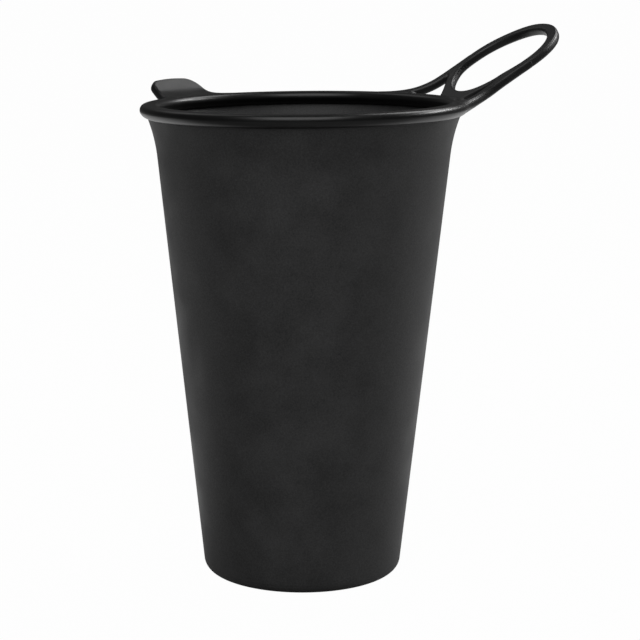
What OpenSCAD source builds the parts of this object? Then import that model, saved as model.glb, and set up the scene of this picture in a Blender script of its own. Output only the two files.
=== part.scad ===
// Soft folding cup: one flexible moulding with a rim bead, a finger loop and a pull tab.
// Origin at the centre of the base underside, +Z up, +X towards the finger loop.

/* [Cup] */
// Height from the base to the top of the rim bead
cup_h = 105.4; // [70:0.1:150]
// Outer diameter over the rim bead
rim_d = 71.8; // [62:0.1:100]
// Outer diameter of the straight wall, drawn down to the base plane
base_d = 44; // [30:0.1:52]
// Thickness of the wall
wall = 0.9; // [0.6:0.05:1.6]
// Thickness of the base
base_wall = 1.3; // [0.8:0.05:3]
// Radius of the corner between base and wall, outside
base_corner = 2.6; // [1.8:0.1:6]
// How far the wall flares out under the bead, past its straight line
flare_out = 1.62; // [0.4:0.02:2.2]
// Height over which it flares, below the middle of the bead
flare_h = 10.2; // [5:0.1:16]
// How far outside the middle of the bead the wall meets it
wall_seat = 0.7; // [0:0.05:1]

/* [Rim bead] */
// Width of the bead, measured along a radius
bead_w = 4.4; // [3.2:0.05:6]
// Height of the bead
bead_h = 2.5; // [1.8:0.05:3]

/* [Finger loop] */
// Angle at which the loop rises from the rim
loop_tilt = 32.4; // [15:0.1:45]
// Level distance from the rim's edge inwards to the foot of the loop's slope
loop_foot = 0.24; // [0:0.02:1]
// Thickness of the loop's plate
loop_t = 2.15; // [1.2:0.05:2.4]
// Width of the loop's bar
loop_bar = 1.95; // [1.2:0.05:3]
// Width of the finger hole
hole_w = 23.3; // [18:0.1:27]
// Length of the finger hole's straight sides
hole_flat = 1.2; // [0.5:0.1:12]
// Width of the bridge between the finger hole and the rim, along the slope
bridge_w = 3.1; // [2.2:0.1:6]
// Length of the bridge along the rim
bridge_len = 9.8; // [6:0.1:14]
// Width of one arm beside its window
arm_w = 2.4; // [1.8:0.1:3.2]
// Radius of the curve that carries an arm into the rim
arm_r = 16.3; // [12:0.1:22]
// Length of each tangent of the arms' bend
arm_bend = 10.3; // [6:0.1:12]

/* [Pull tab] */
// Angle round the rim from the loop to the tab
tab_turn = 111; // [90:1:180]
// Angle at which the tab rises from the rim
tab_tilt = 37; // [10:0.5:60]
// Width of the tab
tab_w = 14; // [9:0.1:18]
// How far the tab reaches out past the rim, level
tab_out = 8.6; // [5.5:0.1:14]
// Level distance from the rim's edge to the middle of the tab's bend
tab_knee = 3.1; // [2:0.1:5]
// Length of each tangent of the tab's bend
tab_bend = 3.4; // [2:0.1:4.2]
// Thickness of the tab
tab_t = 1.9; // [1.2:0.05:2.4]
// Radius of the tab's outer corners
tab_corner = 2.1; // [0.5:0.1:4]
// Radius of the curve that carries a side of the tab into the rim
tab_fillet = 10; // [4:0.1:12]

/* [Hidden] */
$fn = 96;
// Sides of the large circles
fine = 180;
// Depth to which the loop and the tab are sunk into the bead's outer edge
sink = 0.4;
// Length that reaches past anything it cuts
past = 80;

rim_r = rim_d / 2;
bead_z = cup_h - bead_h / 2;
bead_mid_r = rim_r - bead_w / 2;

// The wall ends inside the bead, and its straight line would end flare_out further in
wall_end_r = bead_mid_r + wall_seat + wall / 2;
slope = (wall_end_r - flare_out - base_d / 2) / bead_z;
lean = sqrt(1 + slope * slope);
// Direction at right angles to the wall, outwards
wall_n = [1 / lean, -slope / lean];
function wall_r(z) = base_d / 2 + slope * z;

// The flare is one arc, tangent to the straight wall, that ends in the middle of the bead
flare_z = bead_z - flare_h;
flare_run = flare_h * lean + flare_out * slope / lean;
flare_rise = flare_out / lean;
flare_r = (flare_run * flare_run + flare_rise * flare_rise) / (2 * flare_rise);
flare_c = [wall_r(flare_z), flare_z] + flare_r * wall_n;

// The loop's slope starts at loop_x, and the hole's two centres are distances along it
loop_x = rim_r - loop_foot;
hole_r = hole_w / 2;
ring_r = hole_r + loop_bar;
hole_c1 = loop_foot / cos(loop_tilt) + bridge_w + hole_r;
hole_c2 = hole_c1 + hole_flat;
// Level distance from the axis to the widest place of the ring
ring_x = loop_x + hole_c1 * cos(loop_tilt);

// Outer curve of an arm: an arc tangent to the rim and to the straight side of the ring
root_r = rim_r - sink;
arm_y = ring_r + arm_r;
arm_x = sqrt(pow(root_r + arm_r, 2) - arm_y * arm_y);
arm_root_y = root_r * arm_y / (root_r + arm_r);
window_y = ring_r - arm_w;

// Side curve of the tab: an arc tangent to the rim and to the tab's side
tab_half = tab_w / 2;
tab_side_y = tab_half + tab_fillet;
tab_side_x = sqrt(pow(root_r + tab_fillet, 2) - tab_side_y * tab_side_y);
tab_root_y = root_r * tab_side_y / (root_r + tab_fillet);
tab_x = rim_r + tab_knee;
// Distance along the tab's slope from the middle of its bend to its end
tab_end = (tab_out - tab_knee) / cos(tab_tilt);

// Half section of the solid inside the wall's outer face, or of the hollow inside its inner face
module body_section(inset, floor_z, corner) {
    corner_z = floor_z + corner;
    corner_x = wall_r(corner_z) - (inset + corner) * lean;
    arc_r = flare_r + inset;
    difference() {
        union() {
            polygon([
                [0, floor_z],
                [corner_x, floor_z],
                [corner_x, corner_z] + corner * wall_n,
                flare_c - arc_r * wall_n,
                [wall_end_r + flare_out, bead_z],
                [0, bead_z]
            ]);
            translate([corner_x, corner_z])
                circle(r = corner);
        }
        translate(flare_c)
            circle(r = arc_r, $fn = fine);
    }
}

module shell() {
    rotate_extrude($fn = fine)
        difference() {
            body_section(0, 0, base_corner);
            body_section(wall, base_wall, base_corner - wall);
        }
}

// Rim bead: an oval section with round edges
module bead() {
    half_flat = (bead_w - bead_h) / 2;
    rotate_extrude($fn = fine)
        translate([bead_mid_r, bead_z])
            union() {
                square([2 * half_flat, bead_h], center = true);
                for (side = [-1, 1])
                    translate([side * half_flat, 0])
                        circle(r = bead_h / 2);
            }
}

// Plate seen from its side: level up to one tangent before knee_x, then a bend, then a slope
module bent_plate(knee_x, tilt, tangent, t) {
    bend_r = tangent / tan(tilt / 2);
    bend_x = knee_x - tangent;
    far = 3 * bend_r;
    rotate([90, 0, 0])
        linear_extrude(height = past, center = true)
            union() {
                translate([0, -t / 2])
                    square([bend_x, t]);
                intersection() {
                    translate([bend_x, bend_r])
                        difference() {
                            circle(r = bend_r + t / 2);
                            circle(r = bend_r - t / 2);
                        }
                    polygon([
                        [bend_x, bend_r],
                        [bend_x, bend_r - far],
                        [bend_x + far * tan(tilt / 2), bend_r - far],
                        [bend_x + far * sin(tilt), bend_r - far * cos(tilt)]
                    ]);
                }
                translate([knee_x, 0])
                    rotate(tilt)
                        translate([tangent, -t / 2])
                            square([past, t]);
            }
}

// Lays a flat outline on a slope that starts at x
module on_slope(x, tilt, t) {
    translate([x, 0, 0])
        rotate([0, -tilt, 0])
            linear_extrude(height = t, center = true)
                children();
}

// Carries a flat outline through everything above and below it
module through() {
    linear_extrude(height = past, center = true)
        children();
}

// Outline with two round ends: the loop's ring, or its hole, along the slope
module ring_outline(r) {
    union() {
        for (x = [hole_c1, hole_c2])
            translate([x, 0])
                circle(r = r);
        translate([hole_c1, -r])
            square([hole_flat, 2 * r]);
    }
}

// Both arms seen from above, from the middle of the bead to the widest place of the ring
module arms_outline() {
    difference() {
        union() {
            translate([0, -arm_root_y])
                square([arm_x, 2 * arm_root_y]);
            translate([0, -ring_r])
                square([ring_x, 2 * ring_r]);
        }
        for (side = [-1, 1])
            translate([arm_x, side * arm_y])
                circle(r = arm_r, $fn = fine);
        circle(r = bead_mid_r, $fn = fine);
        translate([0, -window_y])
            square([ring_x, 2 * window_y]);
    }
}

// The two windows between rim, arms and ring, seen from above
module windows_outline() {
    difference() {
        translate([0, -window_y])
            square([ring_x, 2 * window_y]);
        translate([0, -bridge_len / 2])
            square([ring_x, bridge_len]);
        circle(r = root_r, $fn = fine);
        translate([rim_r + ring_r, 0])
            circle(r = ring_r, $fn = fine);
    }
}

// Finger loop: a sloping ring, carried by a bridge and by two arms that bend up from the rim.
// The bridge starts a little too long, and the windows trim it.
module finger_loop() {
    difference() {
        union() {
            on_slope(loop_x, loop_tilt, loop_t)
                ring_outline(ring_r);
            on_slope(loop_x, loop_tilt, loop_t)
                translate([-2 * sink, -bridge_len / 2 - sink])
                    square([hole_c1, bridge_len + 2 * sink]);
            intersection() {
                bent_plate(loop_x, loop_tilt, arm_bend, loop_t);
                through()
                    arms_outline();
            }
        }
        on_slope(loop_x, loop_tilt, past)
            ring_outline(hole_r);
        through()
            windows_outline();
    }
}

// Sides of the tab seen from above, which two arcs carry into the rim
module tab_outline() {
    difference() {
        union() {
            translate([0, -tab_half])
                square([past, tab_w]);
            translate([0, -tab_root_y])
                square([tab_side_x, 2 * tab_root_y]);
        }
        for (side = [-1, 1])
            translate([tab_side_x, side * tab_side_y])
                circle(r = tab_fillet);
        circle(r = bead_mid_r, $fn = fine);
    }
}

// Outer end of the tab with its round corners, along its slope
module tab_end_outline() {
    union() {
        translate([-past, -past / 2])
            square([past + tab_end - tab_corner, past]);
        translate([-past, tab_corner - tab_half])
            square([past + tab_end, tab_w - 2 * tab_corner]);
        for (side = [-1, 1])
            translate([tab_end - tab_corner, side * (tab_half - tab_corner)])
                circle(r = tab_corner);
    }
}

// Pull tab: a plate that bends up from the rim
module tab() {
    intersection() {
        bent_plate(tab_x, tab_tilt, tab_bend, tab_t);
        through()
            tab_outline();
        on_slope(tab_x, tab_tilt, past)
            tab_end_outline();
    }
}

// The whole cup is moulded as one piece
module cup() {
    color([0.17, 0.17, 0.18])
        union() {
            shell();
            bead();
            translate([0, 0, bead_z]) {
                finger_loop();
                rotate(tab_turn)
                    tab();
            }
        }
}

cup();
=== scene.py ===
# %% [markdown]
# A soft folding cup, moulded in one piece from a black rubber-like plastic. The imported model
# holds its true size and place, and stays fixed. This scene dresses it in five pieces: the matte
# wall, the satin bead round the rim, the hair of flash where they meet, and the finger loop and
# the pull tab, which grow out of the bead. All shapes are worked out in millimetres round the
# cup's axis and turned to metres only when a mesh is made.

import math

import bpy
import numpy as np
from mathutils import Euler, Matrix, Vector


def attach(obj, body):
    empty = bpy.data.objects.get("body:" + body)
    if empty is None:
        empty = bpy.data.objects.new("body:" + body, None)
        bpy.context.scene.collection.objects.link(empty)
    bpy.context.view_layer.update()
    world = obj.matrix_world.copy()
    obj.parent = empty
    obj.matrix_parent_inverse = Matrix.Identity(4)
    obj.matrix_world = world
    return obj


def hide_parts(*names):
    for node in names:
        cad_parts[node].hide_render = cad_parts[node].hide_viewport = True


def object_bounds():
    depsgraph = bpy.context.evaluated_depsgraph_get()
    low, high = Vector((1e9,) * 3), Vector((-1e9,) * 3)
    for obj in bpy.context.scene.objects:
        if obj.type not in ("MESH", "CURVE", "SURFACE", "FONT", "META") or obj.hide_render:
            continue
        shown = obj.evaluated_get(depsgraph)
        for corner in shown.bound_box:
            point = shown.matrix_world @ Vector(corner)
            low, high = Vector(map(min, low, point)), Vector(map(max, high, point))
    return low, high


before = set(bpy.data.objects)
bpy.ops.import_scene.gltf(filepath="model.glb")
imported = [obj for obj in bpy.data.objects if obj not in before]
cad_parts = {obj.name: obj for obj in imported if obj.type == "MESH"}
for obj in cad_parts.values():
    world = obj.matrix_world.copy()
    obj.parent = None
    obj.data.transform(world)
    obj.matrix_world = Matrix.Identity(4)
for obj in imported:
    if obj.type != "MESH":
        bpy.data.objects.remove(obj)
cad_low, cad_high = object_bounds()
MM = 0.001
print("nodes", sorted(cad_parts), "size in mm", [round(v / MM, 1) for v in cad_high - cad_low])

# %% [markdown]
# The camera comes first. The photograph was taken with a long lens from a little above the rim,
# and the finger loop points to the right and away from the camera. So the camera stands
# 431 mm in front of the cup's axis and 138 mm up, turned round the cup by the loop's angle.

# %% Camera at the photograph's viewing angle
LOOP_TURN = math.radians(24.5)
CAMERA_MM = (3.604, -431.11, 137.90)
CAMERA_PITCH = 0.1858
CAMERA_ROLL = 0.0033
LENS_MM, SENSOR_MM = 110.516, 36.0


def seen_to_part(x, y, z):
    """A point given with x to the camera's right and y away from it, turned into the part's frame."""
    c, s = math.cos(LOOP_TURN), math.sin(LOOP_TURN)
    return Vector((x * c + y * s, -x * s + y * c, z)) * MM


camera_data = bpy.data.cameras.new("camera")
camera_data.lens, camera_data.sensor_width = LENS_MM, SENSOR_MM
camera_data.clip_start, camera_data.clip_end = 0.02, 20.0
camera = bpy.data.objects.new("camera", camera_data)
camera.location = seen_to_part(*CAMERA_MM)
turn = Euler((0, 0, -LOOP_TURN)).to_matrix() @ Euler((math.pi / 2 - CAMERA_PITCH, 0, 0)).to_matrix()
camera.rotation_euler = (turn @ Euler((0, 0, CAMERA_ROLL)).to_matrix()).to_euler()
bpy.context.scene.collection.objects.link(camera)
bpy.context.scene.camera = camera
print("camera at", [round(v, 4) for v in camera.location])

# %% [markdown]
# These are the cup's own sizes, in millimetres. They repeat the driving dimensions of the solid,
# so that every surface made below lies where the solid is.

# %% Sizes of the cup
RIM_R = 35.9
BEAD_W, BEAD_UP, BEAD_DOWN = 4.4, 1.35, 1.45
CUP_H = cad_low.z / MM + 105.4
BEAD_Z = CUP_H - BEAD_UP
BEAD_MID_R = RIM_R - BEAD_W / 2
BASE_R, WALL, BASE_WALL, CORNER_R = 22.0, 0.9, 1.3, 2.6
FLARE_OUT, FLARE_H = 1.62, 10.2
WALL_SEAT = 0.72
WALL_END_R = BEAD_MID_R + WALL / 2 + WALL_SEAT
SLOPE = (WALL_END_R - FLARE_OUT - BASE_R) / BEAD_Z
print("wall gains", round(SLOPE, 4), "mm of radius for each mm of height")

# %% [markdown]
# Two helpers make the meshes. The first writes points and faces into a new object at the origin.
# The second shapes the whole cup a little, as the real one is soft: its rim lies a fraction of a
# degree out of level, and its base sits a quarter of a millimetre to one side of its mouth.

# %% Mesh and softness helpers
RIM_TILT = 0.0121
BASE_SHIFT = 0.29


def softened(points):
    """Moves points as the soft cup leans: a blend from 0 at the base to 1 at the rim."""
    c, s = math.cos(LOOP_TURN), math.sin(LOOP_TURN)
    right = points[:, 0] * c - points[:, 1] * s
    t = np.clip(points[:, 2] / BEAD_Z, 0.0, 1.0)
    blend = t * t * (3 - 2 * t)
    out = points.copy()
    out[:, 2] += RIM_TILT * right * blend
    out[:, 0] -= BASE_SHIFT * (1 - t) * c
    out[:, 1] += BASE_SHIFT * (1 - t) * s
    return out


def make_piece(name, points, faces, normals=None):
    """Makes one smooth piece from points in millimetres, lists of faces and, if known, exact normals."""
    mesh = bpy.data.meshes.new(name)
    mesh.from_pydata((softened(points) * MM).tolist(), [], faces)
    mesh.update()
    mesh.shade_smooth()
    if normals is not None:
        mesh.normals_split_custom_set_from_vertices(normals.tolist())
    piece = bpy.data.objects.new(name, mesh)
    bpy.context.scene.collection.objects.link(piece)
    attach(piece, "root")
    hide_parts("cup")
    print(name, len(mesh.vertices), "points", len(mesh.polygons), "faces")
    return piece


# %% [markdown]
# The wall is a turned shape: one profile in radius and height, carried round the axis. The
# profile runs from the middle of the underside, round the corner, up the straight taper and along
# the flare into the bead, then back down inside to the middle of the floor. Each stretch is a
# straight line or an arc, and an arc is given by its centre, radius and angles. Near the base a
# faint ring shows where two parts of the mould met, so the profile has a shallow groove there.

# %% Profile of the wall
LEAN = math.hypot(1.0, SLOPE)
WALL_N = np.array([1.0, -SLOPE]) / LEAN
FLARE_RUN = FLARE_H * LEAN + FLARE_OUT * SLOPE / LEAN
FLARE_RISE = FLARE_OUT / LEAN
FLARE_R = (FLARE_RUN**2 + FLARE_RISE**2) / (2 * FLARE_RISE)
FLARE_Z = BEAD_Z - FLARE_H
FLARE_C = np.array([BASE_R + SLOPE * FLARE_Z, FLARE_Z]) + FLARE_R * WALL_N


def line(a, b, n):
    """n points from a up to b, b left out: a + (b - a) t."""
    t = np.linspace(0, 1, n, endpoint=False)[:, None]
    return np.asarray(a) + (np.asarray(b) - np.asarray(a)) * t


def arc(centre, r, start, end, n):
    """n points of a circle from the start angle up to the end angle, the end left out, in radians."""
    a = np.linspace(start, end, n, endpoint=False)
    return np.asarray(centre) + r * np.stack([np.cos(a), np.sin(a)], axis=1)


def half_profile(inset, floor_z, corner, rows):
    """One face of the wall, from the axis up to the bead: floor, corner arc, taper and flare arc."""
    corner_z = floor_z + corner
    centre = np.array([BASE_R + SLOPE * corner_z - (inset + corner) * LEAN, corner_z])
    lean_angle = math.atan2(WALL_N[1], WALL_N[0])
    arc_r = FLARE_R + inset
    start = math.pi + lean_angle
    end = math.pi - math.asin((BEAD_Z - FLARE_C[1]) / arc_r)
    low = centre + corner * WALL_N
    high = FLARE_C - arc_r * WALL_N
    return np.concatenate([
        line([0.0, floor_z], [centre[0], floor_z], 24)[1:],
        arc(centre, corner, -math.pi / 2, lean_angle, 40),
        line(low, high, rows),
        arc(FLARE_C, arc_r, start, end, 16),
    ])


SEAM_Z, SEAM_WIDTH, SEAM_DEPTH = 1.9, 0.14, 0.04
outer = half_profile(0.0, 0.0, CORNER_R, 64)
outer[:, 0] -= SEAM_DEPTH * np.exp(-(((outer[:, 1] - SEAM_Z) / SEAM_WIDTH) ** 2))
inner = half_profile(WALL, BASE_WALL, CORNER_R - WALL, 64)
print("wall profile has", len(outer), "points outside and", len(inner), "inside")

# %% Turn the wall
TURNS = 300
profile = np.concatenate([outer, [[WALL_END_R, BEAD_Z]], inner[::-1]])
angle = np.linspace(0, 2 * math.pi, TURNS, endpoint=False)
radius, height = profile[:, 0:1], profile[:, 1:2]
wall_points = np.stack([radius * np.cos(angle), radius * np.sin(angle), height + 0 * angle], axis=2)
wall_points = wall_points.reshape(-1, 3)
poles = np.array([[0, 0, 0.0], [0, 0, BASE_WALL]])
wall_points = np.concatenate([wall_points, poles])


def turned_faces(rows, turns):
    """Quads between neighbouring rows of a turned grid, and a fan of triangles at each pole."""
    i, j = np.meshgrid(np.arange(rows - 1), np.arange(turns), indexing="ij")
    k = (j + 1) % turns
    quads = np.stack([i * turns + j, i * turns + k, (i + 1) * turns + k, (i + 1) * turns + j], axis=2)
    ring = np.arange(turns)
    after = (ring + 1) % turns
    last = (rows - 1) * turns
    bottom = np.stack([np.full(turns, rows * turns), after, ring], axis=1)
    top = np.stack([np.full(turns, rows * turns + 1), last + ring, last + after], axis=1)
    return quads.reshape(-1, 4).tolist() + bottom.tolist() + top.tolist()


wall_piece = make_piece("cup_wall", wall_points, turned_faces(len(profile), TURNS))

# %% [markdown]
# The rim's bead is a turned shape too. Its section is flat in the middle and round at both sides.
# Each quarter of it is a superellipse, the curve |x / a|^p + |z / b|^p = 1, where p = 2 gives an
# ellipse, a larger p a squarer corner and a smaller p a more pointed one. The real bead is a
# little square above and slopes away below.

# %% Rim bead
BEAD_CAP = 1.35
SQUARE_UP, SQUARE_DOWN = 2.3, 1.6
BEAD_TURNS, BEAD_POINTS = 420, 72
INSET = 0.03


def bead_section():
    """Points of the closed section as radius and height: a superellipse of its own above and below."""
    t = (np.arange(BEAD_POINTS) + 0.5) * 2 * math.pi / BEAD_POINTS
    power = 2 / np.where(np.sin(t) > 0, SQUARE_UP, SQUARE_DOWN)
    tall = np.where(np.sin(t) > 0, BEAD_UP, BEAD_DOWN)
    x = np.sign(np.cos(t)) * (np.abs(np.cos(t)) ** power * BEAD_CAP + BEAD_W / 2 - BEAD_CAP)
    return BEAD_MID_R + x, np.sign(np.sin(t)) * np.abs(np.sin(t)) ** power * tall


def ring_faces(turns, around):
    """Quads of a grid that closes on itself both ways, facing outwards."""
    i, j = np.meshgrid(np.arange(turns), np.arange(around), indexing="ij")
    i2, j2 = (i + 1) % turns, (j + 1) % around
    quads = np.stack([i * around + j, i2 * around + j, i2 * around + j2, i * around + j2], axis=2)
    return quads.reshape(-1, 4).tolist()


section_r, section_z = bead_section()
around = np.linspace(0, 2 * math.pi, BEAD_TURNS, endpoint=False)[:, None]
bead_points = np.stack([
    section_r * np.cos(around), section_r * np.sin(around), BEAD_Z + section_z + 0 * around], axis=2)
bead_piece = make_piece("rim_bead", bead_points.reshape(-1, 3), ring_faces(BEAD_TURNS, BEAD_POINTS))

# %% [markdown]
# Where the wall meets the bead, the two halves of the mould leave a hair of flash: a ring about a
# fifth of a millimetre thick. It isn't even, and stands out a little more here than there. A sum
# of sine waves of the angle gives a wander that closes on itself after a full turn.

# %% Flash line under the bead
FLASH_R = 0.11
FLASH_TURNS = 900


def wander(angle, waves, seed):
    """A closed wander round the cup: the sum of sin(k angle + phase) / sqrt(k) over whole numbers k."""
    phases = np.random.default_rng(seed).uniform(0, 2 * math.pi, len(waves))
    parts = [np.sin(k * angle + p) / math.sqrt(k) for k, p in zip(waves, phases)]
    return sum(parts) / math.sqrt(sum(0.5 / k for k in waves))


def flash_ring():
    """A thin ring where wall and bead meet: a circle of eight points carried round, its place wandering."""
    around = np.linspace(0, 2 * math.pi, FLASH_TURNS, endpoint=False)[:, None]
    section = np.linspace(0, 2 * math.pi, 8, endpoint=False)[None, :]
    seat = outer[np.argmin(np.abs(outer[:, 1] - (BEAD_Z - BEAD_DOWN)))][0] + 0.07
    thick = FLASH_R * (1 + 0.14 * wander(around, range(5, 60, 5), 3))
    r = seat + 0.02 * wander(around, range(8, 70, 6), 4) + thick * np.cos(section)
    z = BEAD_Z - BEAD_DOWN - 0.02 + 0.015 * wander(around, range(6, 60, 5), 5) + thick * np.sin(section)
    return np.stack([r * np.cos(around), r * np.sin(around), z], axis=2).reshape(-1, 3)


flash_piece = make_piece("parting_flash", flash_ring(), ring_faces(FLASH_TURNS, 8))

# %% [markdown]
# The loop and the tab run into the bead with soft fillets, which is hard to do by joining grids.
# Each is made as one surface instead: a function gives the distance from any point to each form,
# and a smooth minimum blends the forms where they meet. The surface is where it is zero. Loop and
# tab are bent plates with round edges: a flat outline, and a height above the rim's plane.

# %% Blends, bends and plates


def smooth_min(a, b, k):
    """The smaller of a and b, rounded over the width k where they are nearly equal."""
    h = np.maximum(k - np.abs(a - b), 0.0) / k
    return np.minimum(a, b) - h * h * k / 4


def smooth_max(a, b, k):
    """The larger of a and b, rounded over the width k."""
    return -smooth_min(-a, -b, k)


def corner(a, b, r):
    """Distance to the corner between two edges, from the distance to each, rounded by the radius r."""
    a, b = a + r, b + r
    return np.hypot(np.maximum(a, 0), np.maximum(b, 0)) - r + np.minimum(np.maximum(a, b), 0)


def bend(s, knee, tilt, tangent):
    """Height and slope of a plate that is level, bends on an arc and then rises at the tilt."""
    r = tangent / math.tan(tilt / 2)
    start, end = knee - tangent, knee + tangent * math.cos(tilt)
    turn = np.arcsin(np.clip((s - start) / r, 0.0, math.sin(tilt)))
    height = np.where(s < end, r * (1 - np.cos(turn)), (s - knee) * math.tan(tilt))
    return height, turn


def root(s, y, x0, y0, r, side):
    """Distance to an outline that leaves the rim on an arc r round x0, y0 and runs on beside y = side."""
    past_touch = (y * x0 - s * y0) / math.hypot(x0, y0)
    on_rim = np.hypot(s, y) - math.hypot(x0, y0) + r + 0.4 * past_touch
    on_arc = r - np.hypot(s - x0, y - y0)
    return np.where(past_touch > 0, on_rim, np.where(s > x0, y - side, on_arc))


def rounded(outline, z, up, down, cap, power_up, power_down):
    """Distance to a flat form with rounded edges: a superellipse as wide as cap joins top and bottom."""
    above = z > 0
    tall, power = np.where(above, up, down), np.where(above, power_up, power_down)
    inwards = np.maximum(outline / cap + 1, 0)
    return ((inwards**power + (np.abs(z) / tall) ** power) ** (1 / power) - 1) * cap


def bead_distance(p):
    """Distance to the bead: its outline is a band, and its edges are the superellipses of its section."""
    band = np.abs(np.hypot(p[:, 0], p[:, 1]) - BEAD_MID_R) - BEAD_W / 2
    return rounded(band, p[:, 2], BEAD_UP, BEAD_DOWN, BEAD_CAP, SQUARE_UP, SQUARE_DOWN)


PLATE_POWER = 2.9


def plate_distance(p, height, outline, half, cap, start, end):
    """Distance to a bent plate, and its height. Its edge is the bead's up to start and its own from end on."""
    h, turn = height(p[:, 0], p[:, 1])
    foot = p[:, 0] + (p[:, 2] - h) * np.sin(turn) * np.cos(turn)
    h, turn = height(foot, p[:, 1])
    away = (p[:, 2] - h) * np.cos(turn) - (p[:, 0] - foot) * np.sin(turn)
    t = np.clip((end - foot) / (end - start), 0.0, 1.0)
    t = t * t * (3 - 2 * t)
    up = half + (BEAD_UP - INSET - half) * t
    down = half + (BEAD_DOWN - INSET - half) * t
    power_up = PLATE_POWER + (SQUARE_UP - PLATE_POWER) * t
    power_down = PLATE_POWER + (SQUARE_DOWN - PLATE_POWER) * t
    edge = cap + (BEAD_CAP - cap) * t
    return rounded(outline(foot, p[:, 1]), away, up, down, edge, power_up, power_down), h


# %% [markdown]
# The finger loop takes the most skill. Seen from above it is a ring with two straight sides, whose
# arms swing out into the rim on arcs of 16 mm, and a bridge that closes it at the near end, with a
# window on each side of the bridge. All of it bends up out of the rim's plane on a circular arc.
# Between the arms, ring and bridge sag a little below the arms, and the tip lifts a little more.
# The plate is as thick as the bead at the root and thins along the arms.

# %% The finger loop's outline and height
LOOP_TILT, LOOP_KNEE, LOOP_BEND = math.radians(30.2), 33.9, 7.4
LOOP_HALF_T, LOOP_CAP = 1.02, 0.85
TIP_LIFT, LIFT_FROM = 0.4, 56.0
HOLE_R, BAR_W = 11.4, 2.3
HOLE_NEAR, HOLE_FAR = 38.9, 59.2
ARM_R, ARM_SIDE = 16.3, HOLE_R + BAR_W
ARM_Y = ARM_SIDE + ARM_R
ARM_X = math.sqrt((RIM_R - 0.02 + ARM_R) ** 2 - ARM_Y**2)
WINDOW_Y, BRIDGE_Y = 11.4, 4.7
TIP_POWER = 2.15
DIP, DIP_END, DIP_Y, DIP_EASE = 2.17, 47.73, 11.8, 2.6
LOWEST = -0.25
LIFT_OVER = 5
ARMS_END = 49.0
BRIDGE_CURVE_R, BRIDGE_CURVE_X, BRIDGE_EASE = 13.46, 49.8, 4.0
RIM_LAP = 0.8
ROOT_R = 33.4


def loop_height(s, v):
    """Height of the loop's middle: the bent plate, which dips towards the rim between the arms."""
    h, turn = bend(s, LOOP_KNEE, LOOP_TILT, LOOP_BEND)
    k = np.clip((DIP_END - s) / (DIP_END - RIM_R), 0.0, 1.15)
    w = np.clip((DIP_Y - np.abs(v)) / DIP_EASE, 0.0, 1.0)
    tip = np.clip((s - LIFT_FROM) / LIFT_OVER, 0.0, 1.3)
    dipped = h - DIP * k * k * w * w * (3 - 2 * w) + TIP_LIFT * tip * tip
    return smooth_max(dipped, np.full_like(h, LOWEST), 0.6), turn


def loop_outline(s, v):
    """Distance to the loop's outline seen from above: ring, arms and bridge, less the hole and two windows."""
    stretch = math.cos(LOOP_TILT)
    c1, c2 = HOLE_NEAR / stretch + HOLE_R, HOLE_FAR / stretch - HOLE_R
    along = s / stretch
    hole = np.hypot(along - np.clip(along, c1, c2), v) - HOLE_R
    y, rim = np.abs(v), np.hypot(s, v)
    arms = np.maximum(root(s, y, ARM_X, ARM_Y, ARM_R, ARM_SIDE), s - ARMS_END)
    far_end = np.where(along > c2, TIP_POWER, 2.0)
    ring = (np.abs(along - np.clip(along, c1, c2)) ** far_end + y**far_end) ** (1 / far_end) - HOLE_R - BAR_W
    beside_bridge = smooth_max(BRIDGE_Y - y, BRIDGE_CURVE_R - np.hypot(s - BRIDGE_CURVE_X, v), BRIDGE_EASE)
    curved = ARM_R + ARM_SIDE - WINDOW_Y - np.hypot(s - ARM_X, y - ARM_Y)
    along_arm = np.where(s > ARM_X, y - WINDOW_Y, curved)
    window = smooth_max(beside_bridge, smooth_max(along_arm, RIM_R - RIM_LAP - rim, 1.0), 1.2)
    solid = smooth_min(ring, arms, 0.4)
    return np.maximum(smooth_max(smooth_max(solid, -hole, 0.3), -window, 0.5), ROOT_R - rim)


# %% [markdown]
# The pull tab is a plain plate with round corners and a crowned end. It leaves the rim on wide
# arcs, a third of a turn from the loop, and bends up in the same way. The corner nearer the loop
# is rounder than the other.

# %% The pull tab's outline and height
TAB_TURN = math.radians(111.0)
TAB_TILT, TAB_KNEE, TAB_BEND = math.radians(37.2), 38.95, 3.4
TAB_HALF, TAB_FILLET, TAB_END = 7.05, 10.0, 7.0
TAB_CORNER, TAB_FAR_CORNER = 2.1, 3.6
TAB_HALF_T, TAB_CAP = 0.97, 0.8
TAB_CROWN = 62.0


def tab_height(s, v):
    """Height and slope of the tab's middle."""
    return bend(s, TAB_KNEE, TAB_TILT, TAB_BEND)


def tab_outline(s, v):
    """Distance to the tab's outline: straight sides, round corners, a crowned end and arcs into the rim."""
    side_y = TAB_HALF + TAB_FILLET
    side_x = math.sqrt((RIM_R - 0.02 + TAB_FILLET) ** 2 - side_y**2)
    beside = root(s, np.abs(v), side_x, side_y, TAB_FILLET, TAB_HALF)
    end = (s - TAB_KNEE) / math.cos(TAB_TILT) - TAB_END + v * v / TAB_CROWN
    radius = np.where(v > 0, TAB_CORNER, TAB_FAR_CORNER)
    return np.maximum(corner(beside, end, radius), ROOT_R - np.hypot(s, v))


# %% [markdown]
# Each surface is found on a fine grid of points. A cell of the grid whose corners have both signs
# holds one point of the surface, and each grid edge that changes sign gives a face between its
# four cells. The points are then evened out and slid along the function's slope until the distance
# is zero, so that they lie on the true surface and not on the grid. The slope also gives the exact
# normals. A piece's stretch of bead lies a few hundredths of a millimetre inside the turned bead,
# so the fillet rises out of the bead with no step.

# %% Helpers that turn a distance into a mesh


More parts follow.
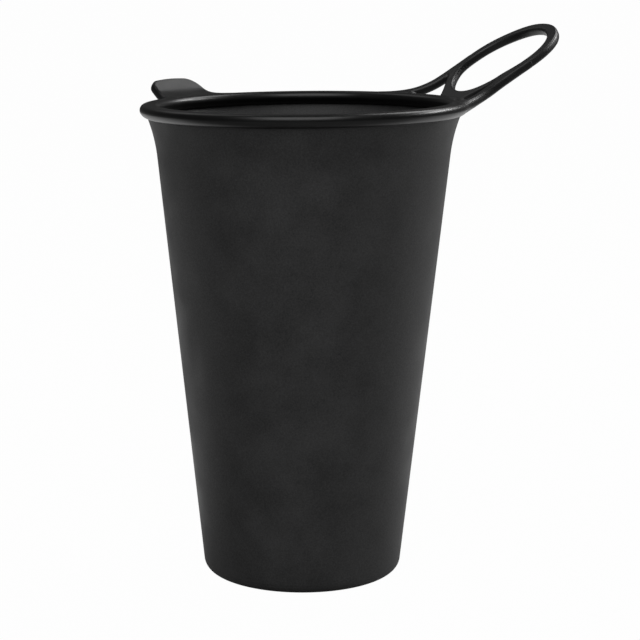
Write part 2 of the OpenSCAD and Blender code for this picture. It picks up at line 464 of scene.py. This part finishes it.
def grown(plate, fillet, half_angle):
    """The distance to a plate that grows out of the bead, cut off at half_angle to each side of it."""
    def distance(p):
        away, lift = plate(p)
        joined = smooth_min(bead_distance(p) + INSET, away, np.clip(1.3 * lift, 0.02, fillet))
        beside = np.abs(p[:, 1]) * math.cos(half_angle) - p[:, 0] * math.sin(half_angle)
        return np.maximum(joined, beside)
    return distance


def sampled(distance, low, high, cell, outline, height):
    """Values of the distance on a grid, worked out only near the plate and near the bead."""
    axes = [np.arange(a, b + cell, cell) for a, b in zip(low, high)]
    x, y = np.meshgrid(axes[0], axes[1], indexing="ij")
    on_plate = outline(x, y) < 2.4
    middle = height(x, y)[0]
    on_bead = np.abs(np.hypot(x, y) - BEAD_MID_R) < BEAD_W / 2 + 1.2
    values = np.full((len(axes[0]), len(axes[1]), len(axes[2])), 1.0)
    for k, z in enumerate(axes[2]):
        near = (on_plate & (np.abs(z - middle) < 3.0)) | (on_bead & (abs(z) < 2.6))
        values[:, :, k][near] = distance(np.stack([x[near], y[near], np.full(near.sum(), z)], axis=1))
    return axes, values


def surface_net(axes, values):
    """Points and quads of the zero surface: one point in each cell that the surface crosses."""
    inside = values < 0
    shape = np.array(values.shape)
    cells = np.zeros(shape - 1, int)
    corners = [(i, j, k) for i in (0, 1) for j in (0, 1) for k in (0, 1)]
    for i, j, k in corners:
        cells += inside[i:shape[0] - 1 + i, j:shape[1] - 1 + j, k:shape[2] - 1 + k]
    crossed = (cells > 0) & (cells < 8)
    number = np.full(cells.shape, -1)
    number[crossed] = np.arange(crossed.sum())
    index = np.argwhere(crossed)
    total, count = np.zeros((len(index), 3)), np.zeros(len(index))
    for a in corners:
        for axis in range(3):
            if a[axis]:
                continue
            b = tuple(c + (n == axis) for n, c in enumerate(a))
            va = values[tuple((index + a).T)]
            vb = values[tuple((index + b).T)]
            change = (va < 0) != (vb < 0)
            t = np.where(change, va / np.where(change, va - vb, 1), 0)
            total += np.where(change[:, None], np.array(a) + t[:, None] * (np.array(b) - np.array(a)), 0)
            count += change
    cell = axes[0][1] - axes[0][0]
    points = np.array([a[0] for a in axes]) + (index + total / count[:, None]) * cell
    faces = []
    for axis in range(3):
        u, w = (axis + 1) % 3, (axis + 2) % 3
        low = [slice(1, -1)] * 3
        low[axis] = slice(0, -1)
        high = list(low)
        high[axis] = slice(1, None)
        start, end = inside[tuple(low)], inside[tuple(high)]
        at = np.argwhere(start != end)
        at[:, u] += 1
        at[:, w] += 1
        du, dw = np.eye(3, dtype=int)[u], np.eye(3, dtype=int)[w]
        quad = np.stack([number[tuple((at - c).T)] for c in (du + dw, dw, 0 * du, du)], axis=1)
        first_inside = inside[tuple(at.T)]
        faces.append(np.where(first_inside[:, None], quad, quad[:, ::-1]))
    return points, np.concatenate(faces)


def slope_of(distance, points, small):
    """The distance's slope along x, y and z, from its values a small step to each side."""
    steps = small * np.eye(3)
    return np.stack([(distance(points + e) - distance(points - e)) / (2 * small) for e in steps], axis=1)


def settled(points, distance, steps, most):
    """Slides points onto the surface: p - d grad / |grad|^2, never further than most at once."""
    for _ in range(steps):
        grad = slope_of(distance, points, 0.02)
        move = distance(points)[:, None] * grad / np.maximum((grad**2).sum(1), 0.2)[:, None]
        length = np.linalg.norm(move, axis=1)
        points = points - move * np.minimum(1, most / np.maximum(length, 1e-9))[:, None]
    return points


def evened(points, faces):
    """Moves each point halfway to the mean of the points that it shares an edge with."""
    total, count = np.zeros_like(points), np.zeros(len(points))
    for a, b in ((0, 1), (1, 2), (2, 3), (3, 0)):
        for start, end in ((faces[:, a], faces[:, b]), (faces[:, b], faces[:, a])):
            for axis in range(3):
                total[:, axis] += np.bincount(start, points[end, axis], len(points))
            count += np.bincount(start, minlength=len(points))
    return (points + total / count[:, None]) / 2


def grown_piece(name, distance, outline, height, low, high, cell, turn):
    """Makes one piece from its distance: grid, surface, evened points and exact normals, then turns it."""
    axes, values = sampled(distance, low, high, cell, outline, height)
    points, faces = surface_net(axes, values)
    for _ in range(3):
        points = settled(evened(points, faces), distance, 2, 0.6 * cell)
    normals = slope_of(distance, points, 0.04)
    normals /= np.linalg.norm(normals, axis=1, keepdims=True)
    c, n = math.cos(turn), math.sin(turn)
    turned = np.array([[c, n, 0], [-n, c, 0], [0, 0, 1]])
    worst = float(np.abs(distance(points)).max())
    print(name, "grid", values.shape, "worst distance left", round(worst, 4))
    return make_piece(name, points @ turned + [0, 0, BEAD_Z], faces.tolist(), normals @ turned)


# %% Grow the loop and the tab out of the bead


def loop_plate(p):
    """Distance to the loop's plate alone."""
    return plate_distance(p, loop_height, loop_outline, LOOP_HALF_T, LOOP_CAP, 29.0, 36.0)


def tab_plate(p):
    """Distance to the tab's plate alone."""
    return plate_distance(p, tab_height, tab_outline, TAB_HALF_T, TAB_CAP, 36.0, 41.0)


loop_piece = grown_piece(
    "finger_loop", grown(loop_plate, 1.3, math.radians(42)),
    loop_outline, loop_height, (21.0, -26.0, -2.2), (62.6, 26.0, 18.4), 0.2, 0.0)
tab_piece = grown_piece(
    "pull_tab", grown(tab_plate, 1.0, math.radians(33)),
    tab_outline, tab_height, (26.0, -21.0, -2.2), (46.5, 21.0, 6.6), 0.24, TAB_TURN)

# %% [markdown]
# The wall came out of a finely blasted mould, so it is matte, with soft clouds and a fine speckle.
# The bead came from smoother steel and has a satin shine, and the loop and the tab lie between the
# two. All are the same black rubber: a dark colour whose tone and roughness change a little, and
# a bump of fine grain. The smoother finishes are given darker colours, and that difference is
# painted shade: the bead's colour is the darkest, so that its shaded bands stay dark.

# %% Materials


def rubber(name, colour, tone_spread, roughness, spread, grain, cloud, depth):
    """A rubber finish: cloudy roughness round one value, fine grain as bump, and a tone that follows both."""
    material = bpy.data.materials.new(name)
    material.use_nodes = True
    nodes, links = material.node_tree.nodes, material.node_tree.links
    shader = nodes["Principled BSDF"]
    place = nodes.new("ShaderNodeTexCoord")
    clouds = nodes.new("ShaderNodeTexNoise")
    clouds.inputs["Scale"].default_value = cloud
    clouds.inputs["Detail"].default_value = 4.0
    links.new(place.outputs["Object"], clouds.inputs["Vector"])
    rough = nodes.new("ShaderNodeMapRange")
    rough.inputs["From Min"].default_value, rough.inputs["From Max"].default_value = 0.3, 0.7
    rough.inputs["To Min"].default_value = roughness - spread
    rough.inputs["To Max"].default_value = roughness + spread
    links.new(clouds.outputs["Fac"], rough.inputs["Value"])
    links.new(rough.outputs["Result"], shader.inputs["Roughness"])
    fine = nodes.new("ShaderNodeTexNoise")
    fine.inputs["Scale"].default_value = grain
    fine.inputs["Detail"].default_value = 2.0
    links.new(place.outputs["Object"], fine.inputs["Vector"])
    both = nodes.new("ShaderNodeMath")
    both.operation = "ADD"
    links.new(clouds.outputs["Fac"], both.inputs[0])
    links.new(fine.outputs["Fac"], both.inputs[1])
    step = nodes.new("ShaderNodeMapRange")
    step.inputs["From Min"].default_value, step.inputs["From Max"].default_value = 0.7, 1.3
    links.new(both.outputs[0], step.inputs["Value"])
    tone = nodes.new("ShaderNodeMix")
    tone.data_type = "RGBA"
    tone.inputs["A"].default_value = (*[c * (1 - tone_spread) for c in colour], 1)
    tone.inputs["B"].default_value = (*[c * (1 + tone_spread) for c in colour], 1)
    links.new(step.outputs["Result"], tone.inputs["Factor"])
    links.new(tone.outputs["Result"], shader.inputs["Base Color"])
    bump = nodes.new("ShaderNodeBump")
    bump.inputs["Strength"].default_value = depth
    bump.inputs["Distance"].default_value = 0.00001
    links.new(fine.outputs["Fac"], bump.inputs["Height"])
    links.new(bump.outputs["Normal"], shader.inputs["Normal"])
    return material


matte = rubber("matte_rubber", (0.042, 0.042, 0.0425), 0.42, 0.60, 0.07, 3000, 110, 0.6)
# The bead's colour is painted shade: about a tenth of the wall's, so that the bead's shaded bands stay dark
# under these lamps.
satin = rubber("satin_rubber", (0.004, 0.004, 0.0041), 0.2, 0.33, 0.03, 3000, 200, 0.04)
soft_satin = rubber("soft_satin_rubber", (0.010, 0.010, 0.0102), 0.3, 0.42, 0.05, 3000, 200, 0.12)
wall_piece.data.materials.append(matte)
flash_piece.data.materials.append(matte)
bead_piece.data.materials.append(satin)
for piece in (loop_piece, tab_piece):
    piece.data.materials.append(soft_satin)

# %% [markdown]
# The cup stands on a plain white floor under a white sky. The camera sees both as white, and the
# light that they cast is kept lower, so that black stays black. Reflections see the floor as white
# in a broad band behind the cup, which lights the wall's edges. A large lamp in front and above
# lights the wall and draws the long streak on the bead. A narrow strip at the right draws the
# bright streak there, and two soft lamps above and behind light the tab and the inside of the rim.

# %% Floor, sky and lamps
floor_mesh = bpy.data.meshes.new("floor")
reach = 20.0
floor_corners = [(-reach, -reach, 0), (reach, -reach, 0), (reach, reach, 0), (-reach, reach, 0)]
floor_mesh.from_pydata(floor_corners, [], [(0, 1, 2, 3)])
floor = bpy.data.objects.new("floor", floor_mesh)
floor.location.z = cad_low.z
bpy.context.scene.collection.objects.link(floor)

floor_material = bpy.data.materials.new("white_floor")
floor_material.use_nodes = True
nodes, links = floor_material.node_tree.nodes, floor_material.node_tree.links
nodes.clear()
out = nodes.new("ShaderNodeOutputMaterial")
mix = nodes.new("ShaderNodeMixShader")
paper = nodes.new("ShaderNodeBsdfDiffuse")
paper.inputs["Color"].default_value = (0.35, 0.35, 0.35, 1)
glow = nodes.new("ShaderNodeEmission")
rays = nodes.new("ShaderNodeLightPath")
place = nodes.new("ShaderNodeTexCoord")
behind = nodes.new("ShaderNodeVectorMath")
behind.operation = "DOT_PRODUCT"
behind.inputs[1].default_value = seen_to_part(0, 1 / MM, 0)
links.new(place.outputs["Object"], behind.inputs[0])
ramp = nodes.new("ShaderNodeMapRange")
ramp.inputs["From Min"].default_value, ramp.inputs["From Max"].default_value = -0.02, 0.04
ramp.inputs["To Min"].default_value, ramp.inputs["To Max"].default_value = 0.0, 1.0
links.new(behind.outputs["Value"], ramp.inputs["Value"])
aside = nodes.new("ShaderNodeVectorMath")
aside.operation = "DOT_PRODUCT"
aside.inputs[1].default_value = seen_to_part(1 / MM, 0, 0)
links.new(place.outputs["Object"], aside.inputs[0])
off_middle = nodes.new("ShaderNodeMath")
off_middle.operation = "ABSOLUTE"
links.new(aside.outputs["Value"], off_middle.inputs[0])
narrow = nodes.new("ShaderNodeMapRange")
narrow.inputs["From Min"].default_value, narrow.inputs["From Max"].default_value = 0.15, 0.50
narrow.inputs["To Min"].default_value, narrow.inputs["To Max"].default_value = 0.95, 0.1
links.new(off_middle.outputs[0], narrow.inputs["Value"])
strip = nodes.new("ShaderNodeMath")
strip.operation = "MULTIPLY"
links.new(ramp.outputs["Result"], strip.inputs[0])
links.new(narrow.outputs["Result"], strip.inputs[1])
mirrored = nodes.new("ShaderNodeMath")
mirrored.operation = "MULTIPLY"
links.new(rays.outputs["Is Glossy Ray"], mirrored.inputs[0])
links.new(strip.outputs[0], mirrored.inputs[1])
share = nodes.new("ShaderNodeMath")
share.operation = "MULTIPLY_ADD"
share.inputs[1].default_value = 0.985
links.new(rays.outputs["Is Camera Ray"], share.inputs[0])
links.new(mirrored.outputs[0], share.inputs[2])
links.new(share.outputs[0], mix.inputs["Fac"])
links.new(paper.outputs[0], mix.inputs[1])
links.new(glow.outputs[0], mix.inputs[2])
links.new(mix.outputs[0], out.inputs["Surface"])
floor_mesh.materials.append(floor_material)

world = bpy.data.worlds.new("studio")
bpy.context.scene.world = world
world.use_nodes = True
nodes, links = world.node_tree.nodes, world.node_tree.links
sky = nodes["Background"]
rays = nodes.new("ShaderNodeLightPath")
seen = nodes.new("ShaderNodeMath")
seen.operation = "MAXIMUM"
links.new(rays.outputs["Is Camera Ray"], seen.inputs[0])
links.new(rays.outputs["Is Transmission Ray"], seen.inputs[1])
strength = nodes.new("ShaderNodeMapRange")
strength.inputs["To Min"].default_value, strength.inputs["To Max"].default_value = 0.06, 1.0
links.new(seen.outputs[0], strength.inputs["Value"])
links.new(strength.outputs["Result"], sky.inputs["Strength"])
sky.inputs["Color"].default_value = (1, 1, 1, 1)


def lamp(name, place, size, power, aim=(0, 0, 80)):
    """A soft rectangular lamp, placed and aimed in millimetres as the camera sees the cup."""
    data = bpy.data.lights.new(name, "AREA")
    data.shape = "RECTANGLE"
    data.size, data.size_y = size[0] * MM, size[1] * MM
    data.energy = power
    light = bpy.data.objects.new(name, data)
    light.location = seen_to_part(*place)
    way = seen_to_part(*aim) - light.location
    light.rotation_euler = way.to_track_quat("-Z", "Y").to_euler()
    bpy.context.scene.collection.objects.link(light)


lamp("key_lamp", (-40, -500, 650), (700, 700), 2.9)
lamp("right_strip", (530, 250, 400), (420, 60), 1.5)
lamp("right_top_lamp", (400, 400, 660), (400, 400), 1.7)
lamp("left_top_lamp", (-300, 380, 620), (400, 400), 0.25)

bpy.context.scene.view_settings.view_transform = "Standard"
